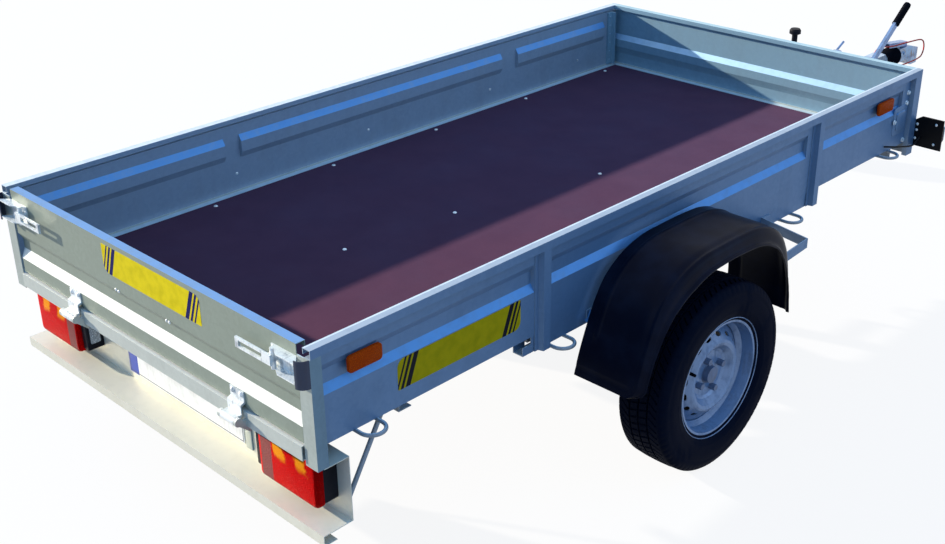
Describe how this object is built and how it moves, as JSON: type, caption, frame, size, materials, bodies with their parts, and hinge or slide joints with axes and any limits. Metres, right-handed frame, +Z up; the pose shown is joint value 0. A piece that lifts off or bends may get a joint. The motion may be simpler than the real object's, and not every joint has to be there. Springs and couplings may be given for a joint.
{
  "type": "utility trailer",
  "caption": "Braked single-axle utility trailer with a galvanised sheet box, plywood floor, drop tailgate, plastic fenders, V drawbar, ball coupling and jockey wheel.",
  "frame": {"origin": "on the ground, under the middle of the whole trailer", "axes": "+X to the trailer's right, +Y forward towards the coupling, +Z up"},
  "size_m": [1.794, 3.999, 0.782],
  "materials": {
    "galvanised_steel": "hot-dip galvanised, spangled, satin",
    "zinc_plated_steel": "bright zinc plate",
    "coated_plywood": "phenol film-faced plywood, dark brown, satin",
    "fender_plastic": "moulded black polyethylene, glossy",
    "tyre_rubber": "black tyre rubber",
    "silver_paint": "silver wheel paint",
    "hub_steel": "grey cast drum with plated bolts",
    "red_lens": "red and amber moulded lamp lens",
    "amber_lens": "amber reflector",
    "black_plastic": "black moulded plastic",
    "white_plate": "white blank plate with a blue end",
    "black_rubber": "black rubber",
    "red_sheath": "red plastic sheath on a steel cable"
  },
  "bodies": {
    "chassis": {"axle_beam": "galvanised_steel", "bellows": "black_rubber", "brake_plates": "galvanised_steel", "breakaway_cable": "red_sheath", "coupling_body": "zinc_plated_steel", "coupling_handle": "zinc_plated_steel", "coupling_head": "zinc_plated_steel", "crossmembers": "galvanised_steel", "drawbar_left": "galvanised_steel", "drawbar_right": "galvanised_steel", "fender_left": "fender_plastic", "fender_right": "fender_plastic", "fender_stays": "zinc_plated_steel", "floor_angles": "galvanised_steel", "floor_panel": "coated_plywood", "frame_rail_left": "galvanised_steel", "frame_rail_right": "galvanised_steel", "front_beam": "galvanised_steel", "front_posts": "galvanised_steel", "front_wall": "galvanised_steel", "handbrake_grip": "black_rubber", "handbrake_lever": "zinc_plated_steel", "hinge_beam": "galvanised_steel", "jockey_clamp": "zinc_plated_steel", "latch_keepers": "zinc_plated_steel", "light_bar": "galvanised_steel", "light_bar_stays": "galvanised_steel", "marker_brackets": "black_plastic", "marker_cord": "black_rubber", "marker_lamps": "black_plastic", "mid_posts": "galvanised_steel", "number_plate": "white_plate", "plate_lamps": "black_plastic", "rear_posts": "galvanised_steel", "rope_hooks_left": "zinc_plated_steel", "rope_hooks_right": "zinc_plated_steel", "side_reflectors": "amber_lens", "side_wall_left": "galvanised_steel", "side_wall_right": "galvanised_steel", "swing_arms": "galvanised_steel", "tail_lamp_left": "red_lens", "tail_lamp_right": "red_lens"},
    "tailgate": {"tailgate_panel": "galvanised_steel", "tailgate_hinges": "zinc_plated_steel", "tailgate_latches": "zinc_plated_steel"},
    "left_wheel": {"tyre_left": "tyre_rubber", "rim_left": "silver_paint", "hub_left": "hub_steel"},
    "right_wheel": {"tyre_right": "tyre_rubber", "rim_right": "silver_paint", "hub_right": "hub_steel"},
    "jockey_leg": {"jockey_tube": "zinc_plated_steel", "jockey_crank": "zinc_plated_steel", "jockey_knob": "black_plastic"},
    "jockey_caster": {"jockey_fork": "zinc_plated_steel"},
    "jockey_roller": {"jockey_wheel": "black_rubber"}
  },
  "joints": [
    {"name": "tailgate_hinge", "type": "hinge", "parent": "chassis", "child": "tailgate", "pos_m": [0, -1.9885, 0.509], "axis": [1, 0, 0], "range_deg": [0, 180]},
    {"name": "left_wheel_spin", "type": "hinge", "parent": "chassis", "child": "left_wheel", "pos_m": [-0.8175, -0.7465, 0.278], "axis": [1, 0, 0], "continuous": true},
    {"name": "right_wheel_spin", "type": "hinge", "parent": "chassis", "child": "right_wheel", "pos_m": [0.8175, -0.7465, 0.278], "axis": [1, 0, 0], "continuous": true},
    {"name": "jockey_slide", "type": "slide", "parent": "chassis", "child": "jockey_leg", "axis": [0, 0, 1], "range_m": [0, 0.18]},
    {"name": "caster_swivel", "type": "hinge", "parent": "jockey_leg", "child": "jockey_caster", "pos_m": [-0.15, 1.5795, 0.214], "axis": [0, 0, 1], "continuous": true},
    {"name": "jockey_roller_spin", "type": "hinge", "parent": "jockey_caster", "child": "jockey_roller", "pos_m": [-0.15, 1.5375, 0.1], "axis": [1, 0, 0], "continuous": true}
  ]
}
